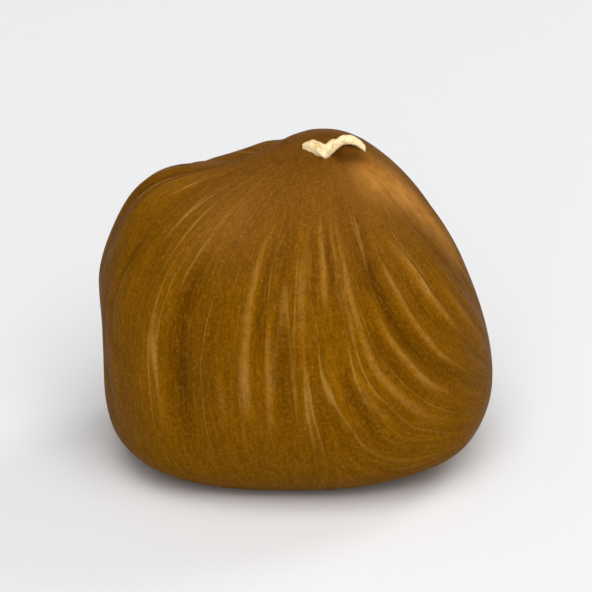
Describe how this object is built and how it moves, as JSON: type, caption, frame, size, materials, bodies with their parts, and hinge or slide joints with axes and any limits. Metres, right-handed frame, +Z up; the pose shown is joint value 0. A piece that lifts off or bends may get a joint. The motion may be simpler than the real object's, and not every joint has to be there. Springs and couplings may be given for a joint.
{
  "type": "hazelnut",
  "caption": "Shelled hazelnut kernel in its brown skin, standing on a flat spot on its broad end, with ridges down its sides and a dry scrap at its tip.",
  "frame": {"origin": "centre of the object's box in plan, on the surface that it stands on", "axes": "+Z up through the tip, +X to the right and -Y towards the viewer of the pictured side"},
  "size_m": [0.0148, 0.0136, 0.0132],
  "materials": {
    "skin": "dry brown seed coat, satin, with fine lengthwise ridges and a cream scrap of dried stalk at the tip"
  },
  "bodies": {
    "root": {"kernel": "skin"}
  },
  "joints": []
}
